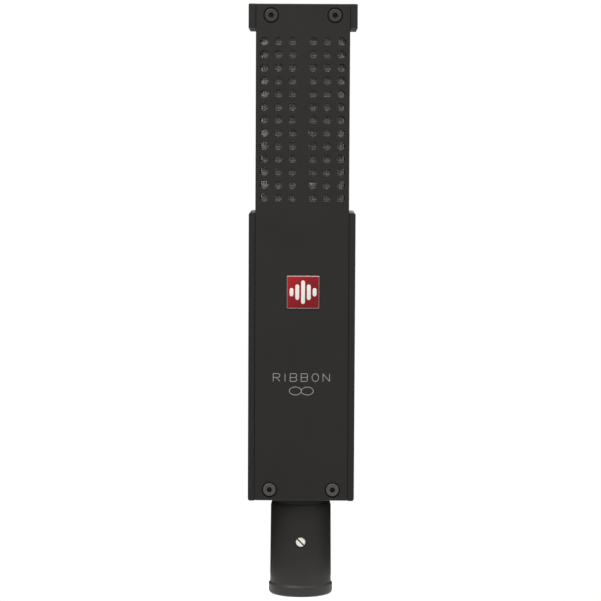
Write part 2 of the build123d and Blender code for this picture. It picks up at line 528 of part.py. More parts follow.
def clamp_base(end_z, inward):
    """The insulating block behind one end of the ribbon, against the iron frame's bar."""
    with BuildPart() as base:
        with BuildSketch(Plane.XY.offset(min(end_z, end_z + inward * CLAMP_TALL))):
            with Locations((0, (RIBBON_THICK / 2 + CLAMP_BASE_DEEP) / 2)):
                Rectangle(2 * CLAMP_HALF, CLAMP_BASE_DEEP - RIBBON_THICK / 2)
        extrude(amount=CLAMP_TALL)
        with BuildSketch(Plane.XY.offset(end_z)):
            with Locations((-BASE_SCREW_X, BASE_SCREW_Y), (BASE_SCREW_X, BASE_SCREW_Y)):
                Circle(BASE_SCREW_RADIUS + 0.05)
        extrude(amount=inward * (BASE_SCREW_BITE + 0.3), mode=Mode.SUBTRACT)
        with BuildSketch(front_plane(RIBBON_THICK / 2)):
            with Locations(*clamp_screw_spots(end_z, inward)):
                Circle(CLAMP_SCREW_RADIUS + 0.05)
        extrude(amount=-(CLAMP_SCREW_REACH - CLAMP_BAR_DEEP + 0.2), mode=Mode.SUBTRACT)
    return base.part


def clamp_bar(end_z, inward):
    """The brass bar that presses one end of the ribbon against its base."""
    with BuildPart() as bar:
        with BuildSketch(front_plane(-RIBBON_THICK / 2)):
            with Locations((0, end_z + inward * (CLAMP_TALL + CLAMP_BAR_INSET / 2) / 2)):
                Rectangle(2 * (CLAMP_HALF - CLAMP_BAR_INSET), CLAMP_TALL - CLAMP_BAR_INSET)
            with Locations(*clamp_screw_spots(end_z, inward)):
                Circle(CLAMP_SCREW_RADIUS + 0.1, mode=Mode.SUBTRACT)
        extrude(amount=CLAMP_BAR_DEEP)
        chamfer(bar.faces().sort_by(Axis.Y)[0].outer_wire().edges(), 0.2)
    return bar.part


for word, (end_z, inward) in CLAMP_ENDS.items():
    save(clamp_base(end_z, inward), f"{word}_clamp_base")
    save(clamp_bar(end_z, inward), f"{word}_clamp_bar")

with BuildPart() as clamp_screws:
    for end_z, inward in CLAMP_ENDS.values():
        spots = clamp_screw_spots(end_z, inward)
        bar_face = front_plane(-RIBBON_THICK / 2 - CLAMP_BAR_DEEP)
        with BuildSketch(bar_face):
            with Locations(*spots):
                Circle(CLAMP_HEAD_RADIUS)
        extrude(amount=CLAMP_HEAD_TALL)
        with BuildSketch(bar_face):
            with Locations(*spots):
                Circle(CLAMP_SCREW_RADIUS)
        extrude(amount=-CLAMP_SCREW_REACH)
        with BuildSketch(bar_face.offset(CLAMP_HEAD_TALL)):
            with Locations(*spots):
                Rectangle(3 * CLAMP_HEAD_RADIUS, CLAMP_SLOT)
        extrude(amount=-CLAMP_HEAD_TALL / 2, mode=Mode.SUBTRACT)
save(clamp_screws.part, "clamp_screws")

with BuildPart() as clamp_base_screws:
    for end_z, inward in CLAMP_ENDS.values():
        bar_outer = end_z - inward * MOTOR_BAR
        for x in (-BASE_SCREW_X, BASE_SCREW_X):
            spot = Plane(origin=(x, BASE_SCREW_Y, bar_outer + inward * 0.1), z_dir=(0, 0, -inward))
            with BuildSketch(spot):
                Circle(BASE_HEAD_RADIUS)
            extrude(amount=-BASE_HEAD_TALL)
            with BuildSketch(spot.offset(-BASE_HEAD_TALL)):
                Circle(BASE_SCREW_RADIUS)
            extrude(amount=-(MOTOR_BAR - BASE_HEAD_TALL + BASE_SCREW_BITE))
save(clamp_base_screws.part, "clamp_base_screws")

PAD_SPANS = {"lower_shock_pad": (BULKHEAD_TOP_Z, MOTOR_LOW_Z), "upper_shock_pad": (MOTOR_TOP_Z, CAP_LOW_Z)}
for name, (pad_low_z, pad_top_z) in PAD_SPANS.items():
    with BuildPart() as pad:
        with BuildSketch(Plane.XY.offset(pad_low_z)):
            RectangleRounded(2 * PAD_HALF_X, 2 * PAD_HALF_Y, 1.0)
        extrude(amount=pad_top_z - pad_low_z)
    save(pad.part, name)

# ---------------------------------------------------------------- transformer
CAN_DEEP, CAN_Y = CAN_BACK - CAN_FRONT, (CAN_BACK + CAN_FRONT) / 2
primary_spots = [(-LEAD_HOLE_X, PRIMARY_Z), (LEAD_HOLE_X, PRIMARY_Z)]
secondary_spots = [(-SECONDARY_X, SECONDARY_Z), (SECONDARY_X, SECONDARY_Z)]
# back_plane's x runs along -X; both pairs are symmetric, so their spots need no sign change

with BuildPart() as transformer_can:
    with BuildSketch(Plane.XY.offset(CAN_LOW_Z)):
        with Locations((0, CAN_Y)):
            RectangleRounded(2 * CAN_HALF, CAN_DEEP, CAN_CORNER)
    extrude(amount=BULKHEAD_LOW_Z - CAN_LOW_Z)
    with BuildSketch(Plane.XY.offset(CAN_LOW_Z + CAN_WALL)):
        with Locations((0, CAN_Y)):
            RectangleRounded(2 * (CAN_HALF - CAN_WALL), CAN_DEEP - 2 * CAN_WALL, CAN_CORNER - CAN_WALL)
    extrude(amount=BULKHEAD_LOW_Z - CAN_LOW_Z, mode=Mode.SUBTRACT)
    for side in (-1, 1):
        with BuildSketch(Plane.XY.offset(BULKHEAD_LOW_Z - CAN_TAB_THICK)):
            with Locations((side * (CAN_HALF + (CAN_TAB - CAN_WALL / 2) / 2), CORE_Y)):
                Rectangle(CAN_TAB + CAN_WALL / 2, CAN_TAB_WIDE)
            with Locations((side * CAN_SCREW_X, CORE_Y)):
                Circle(SIDE_HOLE_RADIUS + 0.1, mode=Mode.SUBTRACT)
        extrude(amount=CAN_TAB_THICK)
    with BuildSketch(back_plane(CAN_BACK)):
        with Locations(*primary_spots, *secondary_spots):
            Circle(TERMINAL_RADIUS + 0.03)
    extrude(amount=-CAN_WALL - 0.2, mode=Mode.SUBTRACT)
save(transformer_can.part, "transformer_can")

with BuildPart() as can_terminals:
    with BuildSketch(back_plane(CAN_BACK - CAN_WALL)):
        with Locations(*primary_spots, *secondary_spots):
            Circle(TERMINAL_RADIUS)
    extrude(amount=CAN_WALL + TERMINAL_OUT)
save(can_terminals.part, "can_terminals")

with BuildPart() as transformer_core:
    with BuildSketch(front_plane(CORE_Y + CORE_DEEP / 2)):
        with Locations((0, BULKHEAD_LOW_Z - CORE_TALL / 2)):
            Rectangle(CORE_WIDE, CORE_TALL)
            for side in (-1, 1):
                with Locations((side * (CORE_LEG + CORE_WINDOW) / 2, 0)):
                    Rectangle(CORE_WINDOW, 2 * BOBBIN_HALF + 0.2, mode=Mode.SUBTRACT)
    extrude(amount=CORE_DEEP)
save(transformer_core.part, "transformer_core")

WINDING_Z = BULKHEAD_LOW_Z - CORE_TALL / 2
LEG_X, LEG_Y = CORE_LEG / 2 + 0.05, CORE_DEEP / 2 + 0.05

with BuildPart() as transformer_bobbin:
    with BuildSketch(Plane.XY.offset(WINDING_Z - BOBBIN_HALF)):
        with Locations((0, CORE_Y)):
            Rectangle(2 * (LEG_X + BOBBIN_WALL), 2 * (LEG_Y + BOBBIN_WALL))
    extrude(amount=2 * BOBBIN_HALF)
    for flange_z in (WINDING_Z - BOBBIN_HALF, WINDING_Z + BOBBIN_HALF - FLANGE):
        with BuildSketch(Plane.XY.offset(flange_z)):
            with Locations((0, CORE_Y)):
                Rectangle(2 * (WINDING_X + FLANGE_PROUD), 2 * (WINDING_Y + FLANGE_PROUD))
        extrude(amount=FLANGE)
    with BuildSketch(Plane.XY.offset(WINDING_Z - BOBBIN_HALF)):
        with Locations((0, CORE_Y)):
            Rectangle(2 * LEG_X, 2 * LEG_Y)
    extrude(amount=2 * BOBBIN_HALF, mode=Mode.SUBTRACT)
save(transformer_bobbin.part, "transformer_bobbin")

with BuildPart() as transformer_winding:
    with BuildSketch(Plane.XY.offset(WINDING_Z - BOBBIN_HALF + FLANGE + WINDING_PLAY)):
        with Locations((0, CORE_Y)):
            RectangleRounded(2 * WINDING_X, 2 * WINDING_Y, 1.2)
            Rectangle(2 * (LEG_X + BOBBIN_WALL + WINDING_PLAY), 2 * (LEG_Y + BOBBIN_WALL + WINDING_PLAY),
                      mode=Mode.SUBTRACT)
    extrude(amount=2 * (BOBBIN_HALF - FLANGE - WINDING_PLAY))
save(transformer_winding.part, "transformer_winding")

with BuildPart() as transformer_screws:
    spots = [(-CAN_SCREW_X, CORE_Y), (CAN_SCREW_X, CORE_Y)]
    with BuildSketch(Plane.XY.offset(BULKHEAD_LOW_Z - CAN_TAB_THICK)):
        with Locations(*spots):
            Circle(CAN_HEAD_RADIUS)
    extrude(amount=-CAN_HEAD_TALL)
    with BuildSketch(Plane.XY.offset(BULKHEAD_LOW_Z - CAN_TAB_THICK)):
        with Locations(*spots):
            Circle(SIDE_SCREW_RADIUS)
    extrude(amount=CAN_TAB_THICK + CAN_SCREW_BITE)
save(transformer_screws.part, "transformer_screws")

# ---------------------------------------------------------------- circuit board
board_front, board_back = front_plane(BOARD_FRONT), back_plane(BOARD_BACK)
post_spots = [(-SECONDARY_X, POST_TOP_Z), (SECONDARY_X, POST_TOP_Z),
              (-POST_LOW_X, POST_LOW_Z), (0, POST_LOW_Z), (POST_LOW_X, POST_LOW_Z)]

with BuildPart() as circuit_board:
    with BuildSketch(board_back):
        with Locations((0, (BOARD_LOW_Z + BOARD_TOP_Z) / 2)):
            Rectangle(2 * BOARD_HALF, BOARD_TOP_Z - BOARD_LOW_Z)
    extrude(amount=-(BOARD_BACK - BOARD_FRONT))
save(circuit_board.part, "circuit_board")

with BuildPart() as board_terminals:
    with BuildSketch(board_back):
        with Locations(*post_spots):
            Circle(POST_RADIUS)
    extrude(amount=POST_TALL)
save(board_terminals.part, "board_terminals")

with BuildPart() as transistors:
    with BuildSketch(board_front.offset(LEG_TALL)):
        for x in TRANSISTOR_X:
            with Locations((x, TRANSISTOR_Z)):
                Circle(TRANSISTOR_RADIUS)
            with Locations((x, TRANSISTOR_Z + TRANSISTOR_RADIUS)):
                Rectangle(2 * TRANSISTOR_RADIUS, 2 * FLAT_DEEP, mode=Mode.SUBTRACT)
    extrude(amount=TRANSISTOR_TALL)
    with BuildSketch(board_front):
        for x in TRANSISTOR_X:
            with Locations(*[(x + k * LEG_PITCH, TRANSISTOR_Z) for k in (-1, 0, 1)]):
                Rectangle(LEG_WIDE, LEG_WIDE)
    extrude(amount=LEG_TALL)
save(transistors.part, "transistors")

with BuildPart() as film_capacitors:
    with BuildSketch(board_front):
        with Locations((-CAPACITOR_X, FILM_Z), (CAPACITOR_X, FILM_Z)):
            RectangleRounded(FILM_WIDE, FILM_TALL, FILM_ROUND)
    extrude(amount=FILM_DEEP)
    fillet(film_capacitors.faces().group_by(Axis.Y)[0].edges(), FILM_ROUND)
save(film_capacitors.part, "film_capacitors")

with BuildPart() as electrolytic_capacitors:
    with BuildSketch(board_front):
        with Locations((-CAPACITOR_X, ELECTROLYTIC_Z), (CAPACITOR_X, ELECTROLYTIC_Z)):
            Circle(ELECTROLYTIC_RADIUS)
    extrude(amount=ELECTROLYTIC_DEEP)
    chamfer(electrolytic_capacitors.faces().group_by(Axis.Y)[0].edges(), SLEEVE_CHAMFER)
save(electrolytic_capacitors.part, "electrolytic_capacitors")

with BuildPart() as resistors:
    for x, z in [(x, z) for z in RESISTOR_Z for x in RESISTOR_X]:
        body = Plane(origin=(x - RESISTOR_LONG / 2, BOARD_FRONT - RESISTOR_RADIUS - RESISTOR_GAP, z),
                     z_dir=(1, 0, 0))
        with BuildSketch(body):
            Circle(RESISTOR_RADIUS)
        extrude(amount=RESISTOR_LONG)
        with BuildSketch(body.offset(-LEAD_OUT)):
            Circle(LEAD_RADIUS)
        extrude(amount=RESISTOR_LONG + 2 * LEAD_OUT)
save(resistors.part, "resistors")

# ---------------------------------------------------------------- wires held inside the housing
BAR_END_X, WIRE_END = CLAMP_HALF - CLAMP_BAR_INSET, PRIMARY_Z + TERMINAL_RADIUS
LEAD_ENDS_Z = {-1: WINDOW_LOW_Z + BAR_WIRE_IN, 1: WINDOW_TOP_Z - BAR_WIRE_IN}

ribbon_routes = [
    [(side * BAR_END_X, BAR_WIRE_Y, end_z), (side * LEAD_HOLE_X, BAR_WIRE_Y, end_z),
     (side * LEAD_HOLE_X, LEAD_Y, end_z), (side * LEAD_HOLE_X, LEAD_Y, WIRE_END)]
    for side, end_z in LEAD_ENDS_Z.items()]
post_face = BOARD_BACK + POST_TALL
transformer_routes = [
    [(side * SECONDARY_X, LEAD_Y, SECONDARY_Z - TERMINAL_RADIUS),
     (side * SECONDARY_X, LEAD_Y, POST_TOP_Z), (side * SECONDARY_X, post_face, POST_TOP_Z)]
    for side in (-1, 1)]
pin_routes = [
    [(x, post_face, POST_LOW_Z), (x, OUTPUT_Y, POST_LOW_Z), (x, OUTPUT_Y, OUTPUT_BEND_Z),
     (pin_x, pin_y, OUTPUT_PIN_Z), (pin_x, pin_y, PIN_TOP_Z)]
    for x, (pin_x, pin_y) in zip((POST_LOW_X, -POST_LOW_X, 0), pin_spots)]

BUNDLES = {"ribbon_leads": ribbon_routes, "transformer_leads": transformer_routes,
           "output_leads": pin_routes}
for name, routes in BUNDLES.items():
    with BuildPart() as bundle:
        lengths = [wire_tube(points, WIRE_RADIUS) for points in routes]
    check_wires(name, bundle.part, WIRE_RADIUS, lengths)
    save(bundle.part, name)
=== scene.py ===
"""The looks of a ribbon microphone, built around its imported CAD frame. Lengths are in metres."""
from math import cos, pi, radians, sin

import bpy
from mathutils import Matrix, Vector


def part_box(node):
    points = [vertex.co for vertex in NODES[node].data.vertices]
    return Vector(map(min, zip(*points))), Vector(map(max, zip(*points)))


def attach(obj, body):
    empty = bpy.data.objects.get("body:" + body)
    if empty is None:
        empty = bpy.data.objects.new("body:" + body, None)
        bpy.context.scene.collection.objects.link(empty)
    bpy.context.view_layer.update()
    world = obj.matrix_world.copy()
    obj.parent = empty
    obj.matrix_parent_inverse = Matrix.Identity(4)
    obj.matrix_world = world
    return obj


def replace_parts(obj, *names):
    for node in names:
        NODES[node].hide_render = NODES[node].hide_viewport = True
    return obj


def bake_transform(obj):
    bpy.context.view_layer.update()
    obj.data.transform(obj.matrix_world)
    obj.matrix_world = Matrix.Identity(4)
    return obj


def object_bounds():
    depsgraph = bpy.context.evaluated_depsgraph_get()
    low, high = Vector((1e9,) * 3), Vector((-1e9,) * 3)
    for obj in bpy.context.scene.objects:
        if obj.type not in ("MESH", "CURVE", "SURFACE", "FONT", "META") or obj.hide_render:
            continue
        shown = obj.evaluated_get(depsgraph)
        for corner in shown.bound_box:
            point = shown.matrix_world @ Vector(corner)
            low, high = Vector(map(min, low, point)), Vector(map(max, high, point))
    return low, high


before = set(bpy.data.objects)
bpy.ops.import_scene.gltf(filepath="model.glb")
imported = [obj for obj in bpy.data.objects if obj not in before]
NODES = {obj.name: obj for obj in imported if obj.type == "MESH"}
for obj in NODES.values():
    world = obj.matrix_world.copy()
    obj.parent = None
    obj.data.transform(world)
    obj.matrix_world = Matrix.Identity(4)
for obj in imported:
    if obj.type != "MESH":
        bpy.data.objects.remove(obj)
cad_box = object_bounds()
MM = 0.001


# ---------------------------------------------------------------- node-tree helpers
def set_range(node, low, high, out_low, out_high):
    """Sets a Map Range node to map low..high to out_low..out_high."""
    for key, number in (("From Min", low), ("From Max", high), ("To Min", out_low), ("To Max", out_high)):
        node.inputs[key].default_value = number


class Shader:
    """One material's node tree, with short calls for the nodes that this script uses."""

    def __init__(self, name):
        self.material = bpy.data.materials.new(name)
        self.material.use_nodes = True
        self.tree = self.material.node_tree
        self.bsdf = self.tree.nodes["Principled BSDF"]
        self.place = self.add("ShaderNodeTexCoord").outputs["Object"]

    def add(self, kind, **settings):
        """A new node, with its own settings given by name."""
        node = self.tree.nodes.new(kind)
        for key, value in settings.items():
            setattr(node, key, value)
        return node

    def link(self, source, target):
        """Links a node's output to a socket, or sets the socket to a plain value."""
        if hasattr(source, "links"):
            self.tree.links.new(source, target)
        else:
            target.default_value = source

    def noise(self, size, detail=2.0, rough=0.5, stretch=(1, 1, 1)):
        """Fractal noise whose largest blobs are about size metres across."""
        mapping = self.add("ShaderNodeMapping")
        mapping.inputs["Scale"].default_value = [1 / (size * k) for k in stretch]
        self.link(self.place, mapping.inputs["Vector"])
        node = self.add("ShaderNodeTexNoise")
        node.inputs["Scale"].default_value = 1.0
        node.inputs["Detail"].default_value = detail
        node.inputs["Roughness"].default_value = rough
        self.link(mapping.outputs["Vector"], node.inputs["Vector"])
        return node.outputs["Fac"]

    def spread(self, value, low, high, out_low=0.0, out_high=1.0):
        """Maps low..high to out_low..out_high and holds it there outside that range."""
        node = self.add("ShaderNodeMapRange")
        set_range(node, low, high, out_low, out_high)
        self.link(value, node.inputs["Value"])
        return node.outputs["Result"]

    def math(self, operation, a, b=0.0):
        """A maths node's result from one or two numbers or node outputs."""
        node = self.add("ShaderNodeMath", operation=operation)
        for socket, value in zip(node.inputs, (a, b)):
            self.link(value, socket)
        return node.outputs[0]

    def mix(self, factor, a, b):
        """Colour a where factor is 0 and colour b where it's 1."""
        node = self.add("ShaderNodeMix", data_type="RGBA")
        self.link(factor, node.inputs["Factor"])
        for socket, value in zip(("A", "B"), (a, b)):
            target = [s for s in node.inputs if s.name == socket and s.type == "RGBA"][0]
            self.link(value if hasattr(value, "links") else (*value, 1.0), target)
        return [s for s in node.outputs if s.type == "RGBA"][0]

    def axis(self, letter):
        """One coordinate of the surface point, in the part's own frame."""
        node = self.add("ShaderNodeSeparateXYZ")
        self.link(self.place, node.inputs[0])
        return node.outputs[letter]

    def edges(self, radius):
        """About 1 within radius of a sharp edge, and 0 on flat faces."""
        bevel = self.add("ShaderNodeBevel", samples=4)
        bevel.inputs["Radius"].default_value = radius
        geometry = self.add("ShaderNodeNewGeometry")
        dot = self.add("ShaderNodeVectorMath", operation="DOT_PRODUCT")
        self.link(bevel.outputs["Normal"], dot.inputs[0])
        self.link(geometry.outputs["Normal"], dot.inputs[1])
        return self.spread(dot.outputs["Value"], 0.995, 0.8)

    def bump(self, height, distance, strength=1.0):
        """Bumps the surface by a height from 0 to 1, which stands for distance metres."""
        node = self.add("ShaderNodeBump")
        node.inputs["Strength"].default_value = strength
        node.inputs["Distance"].default_value = distance
        self.link(height, node.inputs["Height"])
        self.link(node.outputs["Normal"], self.bsdf.inputs["Normal"])

    def finish(self, **sockets):
        """Sets or links the Principled sockets, named with _ for a space."""
        for key, value in sockets.items():
            name = key.replace("_", " ")
            if isinstance(value, tuple):
                value = (*value, 1.0)
            self.link(value, self.bsdf.inputs[name])
        return self.material


# ---------------------------------------------------------------- materials
def black_case():
    """Fine satin-black coating over aluminium, a touch paler along the edges: partly handling wear, partly
    a painted edge highlight.
    """
    s = Shader("black_case")
    cloud = s.spread(s.noise(35 * MM, 3), 0.3, 0.7)
    base = s.mix(cloud, (0.0105, 0.0102, 0.0095), (0.0130, 0.0126, 0.0117))
    # paler edges: partly handling wear, partly a painted highlight where light catches the edges
    edge_wear_and_highlight = s.math("MULTIPLY", s.edges(0.3 * MM), s.spread(s.noise(2.5 * MM, 3, 0.7), 0.35, 0.7, 0.1, 0.6))
    base = s.mix(edge_wear_and_highlight, base, (0.035, 0.034, 0.032))
    grain = s.noise(0.16 * MM, 2)
    s.bump(grain, 0.02 * MM, 0.35)
    rough = s.spread(s.noise(12 * MM, 3), 0.3, 0.7, 0.46, 0.54)
    return s.finish(Base_Color=base, Roughness=rough, Specular_IOR_Level=0.35)


# the plate screws' reach across, and the depths over which their sockets take painted shade
PLATE_SCREWS_WITHIN, SOCKET_FLOOR_Y, SCREW_FACE_Y = 16 * MM, 16.3 * MM, 16.75 * MM
# heights between which the low screws take on a painted light from below
PAINTED_LIGHT_FULL_BELOW, PAINTED_LIGHT_NONE_ABOVE = 40 * MM, 60 * MM


def black_steel():
    """Black-oxide screws, with painted light from below greying the low ones, and painted shade inside the
    plate screws' sockets.
    """
    s = Shader("black_steel")
    # painted light from below: the low screws are painted greyer, and noise varies it at random
    low = s.spread(s.axis("Z"), PAINTED_LIGHT_NONE_ABOVE, PAINTED_LIGHT_FULL_BELOW)
    painted_underlight = s.math("MULTIPLY", low, s.spread(s.noise(1.2 * MM, 3), 0.2, 0.6, 0.6, 1.0))
    base = s.mix(painted_underlight, (0.050, 0.048, 0.045), (0.110, 0.105, 0.098))
    # painted shade down inside the plate screws' sockets
    in_plate = s.math("LESS_THAN", s.math("ABSOLUTE", s.axis("X")), PLATE_SCREWS_WITHIN)
    painted_recess_shade = s.spread(s.math("ABSOLUTE", s.axis("Y")), SOCKET_FLOOR_Y, SCREW_FACE_Y, 1.0, 0.0)
    base = s.mix(s.math("MULTIPLY", in_plate, painted_recess_shade), base, (0.0015, 0.0015, 0.0015))
    s.bump(s.noise(0.3 * MM, 2), 0.01 * MM, 0.4)
    rough = s.spread(s.noise(0.8 * MM), 0.3, 0.7, 0.38, 0.5)
    return s.finish(Base_Color=base, Metallic=0.5, Roughness=rough)


def bare_metal(name, colour, rough=0.3, size=0.4 * MM, stretch=(1, 1, 1), dark=0.75):
    """Bare metal with fine scratches or machining along the stretched direction."""
    s = Shader(name)
    lines = s.noise(size, 3, 0.6, stretch)
    shade = s.spread(lines, 0.3, 0.7)
    base = s.mix(shade, tuple(k * dark for k in colour), colour)
    s.bump(lines, 0.01 * MM, 0.3)
    rough_now = s.spread(lines, 0.3, 0.7, rough * 0.8, rough * 1.25)
    return s.finish(Base_Color=base, Metallic=1.0, Roughness=rough_now)


TURNED_PITCH, SLOT_SHADE_FROM, SLOT_SHADE_FULL = 0.16 * MM, 0.1 * MM, 0.5 * MM


def turned_steel():
    """Bright turned steel with rings round the lock screw's axis, darker down in its slot."""
    s = Shader("turned_steel")
    low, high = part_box("lock_screw")
    centre_x, centre_z = (low.x + high.x) / 2, (low.z + high.z) / 2
    across = s.math("POWER", s.math("SUBTRACT", s.axis("X"), centre_x), 2)
    up = s.math("POWER", s.math("SUBTRACT", s.axis("Z"), centre_z), 2)
    radius = s.math("POWER", s.math("ADD", across, up), 0.5)
    rings = s.math("SINE", s.math("MULTIPLY", radius, 2 * pi / TURNED_PITCH))
    s.bump(rings, 0.006 * MM, 0.35)
    smear = s.spread(s.noise(0.9 * MM, 3), 0.3, 0.7)
    base = s.mix(smear, (0.80, 0.77, 0.72), (0.95, 0.93, 0.89))
    painted_recess_shade = s.spread(s.axis("Y"), low.y + SLOT_SHADE_FROM, low.y + SLOT_SHADE_FULL)
    base = s.mix(painted_recess_shade, base, (0.20, 0.19, 0.17))
    return s.finish(Base_Color=base, Metallic=0.35, Roughness=0.36)


def plastic(name, colour, rough, speckle=0.12, size=1.0 * MM, **sockets):
    """Moulded or painted material, speckled paler and darker by a share of its colour."""
    s = Shader(name)
    shade = s.spread(s.noise(size, 3), 0.3, 0.7)
    base = s.mix(shade, tuple(k * (1 - speckle) for k in colour), tuple(k * (1 + speckle) for k in colour))
    s.bump(s.noise(size / 4, 2), 0.01 * MM, 0.3)
    rough_now = s.spread(s.noise(size * 2), 0.3, 0.7, rough * 0.9, rough * 1.1)
    return s.finish(Base_Color=base, Roughness=rough_now, **sockets)


def enamel():
    """Deep red glass enamel, with a painted highlight brightening it towards its upper left."""
    s = Shader("red_enamel")
    low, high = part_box("badge_plate")
    across = s.spread(s.axis("X"), low.x, high.x)
    up = s.spread(s.axis("Z"), low.z, high.z)
    # painted highlight: brighter towards the upper left, where the light falls
    painted_highlight = s.spread(s.math("SUBTRACT", up, across), -0.4, 0.9)
    base = s.mix(s.math("POWER", painted_highlight, 1.6), (0.20, 0.004, 0.010), (0.40, 0.010, 0.018))
    s.bump(s.noise(3 * MM, 2), 0.05 * MM, 0.3)
    return s.finish(Base_Color=base, Roughness=0.35, Specular_IOR_Level=0.2, Coat_Weight=0.25,
                    Coat_Roughness=0.05)


TRACK_PITCH, TRACK_WANDER, TRACK_HALF, TRACK_EDGE = 1.4 * MM, 1.2 * MM, 0.3 * MM, 0.05 * MM


def circuit_green():
    """Green solder resist with paler copper tracks under it."""
    s = Shader("circuit_green")
    column = s.math("PINGPONG", s.axis("X"), TRACK_PITCH)
    wander = s.math("MULTIPLY", s.noise(6 * MM, 1), TRACK_WANDER)
    track = s.spread(s.math("ABSOLUTE", s.math("SUBTRACT", column, wander)), TRACK_HALF + TRACK_EDGE,
                     TRACK_HALF - TRACK_EDGE)
    base = s.mix(track, (0.008, 0.075, 0.028), (0.02, 0.17, 0.06))
    s.bump(track, 0.03 * MM, 0.5)
    return s.finish(Base_Color=base, Roughness=0.35)


RESISTOR_MIDDLE, RESISTOR_SPACING, LEAD_FROM, LEAD_FULL = 2.6 * MM, 4 * MM, 1.98 * MM, 2.02 * MM
BAND_EDGE, BAND_FULL = 0.16 * MM, 0.13 * MM
BANDS = ((0.5 * MM, (0.35, 0.02, 0.02)), (1.0 * MM, (0.02, 0.02, 0.02)), (1.5 * MM, (0.5, 0.3, 0.06)))


def banded_resistor():
    """Pale blue resistor bodies with red, dark and gold bands, and tinned leads."""
    s = Shader("banded_resistor")
    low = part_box("resistors")[0]
    across = s.math("PINGPONG", s.math("SUBTRACT", s.axis("X"), low.x + RESISTOR_MIDDLE), RESISTOR_SPACING)
    base = (0.20, 0.42, 0.52)
    for spot, colour in BANDS:
        band = s.spread(s.math("ABSOLUTE", s.math("SUBTRACT", across, spot)), BAND_EDGE, BAND_FULL)
        base = s.mix(band, base, colour)
    lead = s.spread(across, LEAD_FROM, LEAD_FULL)
    base = s.mix(lead, base, (0.6, 0.6, 0.58))
    return s.finish(Base_Color=base, Roughness=0.35, Metallic=lead)


def woven_wire():
    """Dull nickelled wire, darker where the strands are tarnished."""
    s = Shader("woven_wire")
    shade = s.spread(s.noise(2.2 * MM, 4, 0.7), 0.3, 0.7)
    base = s.mix(shade, (0.20, 0.19, 0.175), (0.36, 0.345, 0.32))
    return s.finish(Base_Color=base, Metallic=0.7, Roughness=0.45)


CASE, SCREW_BLACK = black_case(), black_steel()
BRIGHT = bare_metal("bright_steel", (0.70, 0.69, 0.66), 0.3)
IRON = bare_metal("ground_iron", (0.33, 0.33, 0.335), 0.45, 0.6 * MM, (1, 1, 8), 0.6)
NICKEL = bare_metal("nickel_plate", (0.66, 0.63, 0.57), 0.22, 3 * MM)
BRASS = bare_metal("brass", (0.68, 0.46, 0.17), 0.32, 0.5 * MM)
SILVER = bare_metal("silver_contact", (0.82, 0.80, 0.76), 0.2, 1.5 * MM)
SHELL = bare_metal("cast_shell", (0.42, 0.41, 0.40), 0.4, 0.8 * MM)
CAN = bare_metal("drawn_can", (0.52, 0.50, 0.46), 0.35, 1.2 * MM, (1, 1, 10))
COPPER = bare_metal("enamelled_copper", (0.55, 0.20, 0.07), 0.3, 0.3 * MM, (12, 12, 1), 0.5)
FOIL = bare_metal("ribbon_foil", (0.86, 0.86, 0.87), 0.32, 0.7 * MM)
WIRE, TURNED = woven_wire(), turned_steel()
MOULDED = plastic("black_moulding", (0.018, 0.018, 0.018), 0.5)
CLAMP = plastic("clamp_plastic", (0.47, 0.38, 0.22), 0.5)
RUBBER = plastic("rubber_pad", (0.02, 0.02, 0.02), 0.8, 0.2, 2 * MM)
BOARD, RESISTOR = circuit_green(), banded_resistor()
FILM = plastic("film_case", (0.42, 0.05, 0.03), 0.25, 0.08, 2 * MM, Coat_Weight=0.5)
SLEEVE = plastic("capacitor_sleeve", (0.015, 0.02, 0.07), 0.3, 0.08, 2 * MM, Coat_Weight=0.4)
JACKET = plastic("wire_jacket", (0.36, 0.02, 0.015), 0.4, 0.1, 2 * MM)
RIM = bare_metal("badge_rim", (0.74, 0.60, 0.58), 0.25, 0.8 * MM)
ENAMEL = enamel()
EMBLEM = plastic("emblem_white", (0.78, 0.77, 0.74), 0.35, 0.04, 2 * MM)
MARKING = plastic("marking_paint", (0.26, 0.255, 0.24), 0.6, 0.15, 1 * MM)

FINISHES = {
    CASE: ["top_cap", "left_side_frame", "right_side_frame", "bottom_block", "front_plate", "rear_plate",
           "bulkhead", "tail_barrel"],
    SCREW_BLACK: ["front_plate_screws", "rear_plate_screws", "side_screws"],
    BRIGHT: ["clamp_screws", "clamp_base_screws", "transformer_screws"],
    IRON: ["motor_frame", "left_pole_piece", "right_pole_piece", "transformer_core"],
    NICKEL: ["left_magnet", "right_magnet"],
    BRASS: ["upper_clamp_bar", "lower_clamp_bar", "barrel_nut", "board_terminals", "can_terminals"],
    SILVER: ["contact_pins", "ground_tab"],
    SHELL: ["connector_shell"],
    CAN: ["transformer_can"],
    COPPER: ["transformer_winding"],
    MOULDED: ["connector_insulator", "transistors", "transformer_bobbin"],
    CLAMP: ["upper_clamp_base", "lower_clamp_base"],
    RUBBER: ["upper_shock_pad", "lower_shock_pad"],
    BOARD: ["circuit_board"],
    RESISTOR: ["resistors"],
    FILM: ["film_capacitors"],
    SLEEVE: ["electrolytic_capacitors"],
    JACKET: ["ribbon_leads", "transformer_leads", "output_leads"],
    RIM: ["badge_plate"],
    TURNED: ["lock_screw"],
}
for finish, names in FINISHES.items():
    for name in names:
        for material_slot in NODES[name].material_slots:
            material_slot.material = finish


# ---------------------------------------------------------------- mesh pieces
def piece(name, points, faces, finish, body="body", smooth=True):
    """A mesh object from points in metres, riding on a body unless that is None."""
    mesh = bpy.data.meshes.new(name)
    mesh.from_pydata(points, [], faces)
    mesh.validate()
    mesh.materials.append(finish)
    mesh.polygons.foreach_set("use_smooth", [smooth] * len(mesh.polygons))
    thing = bpy.data.objects.new(name, mesh)
    bpy.context.scene.collection.objects.link(thing)
    if body:
        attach(thing, body)
    return thing


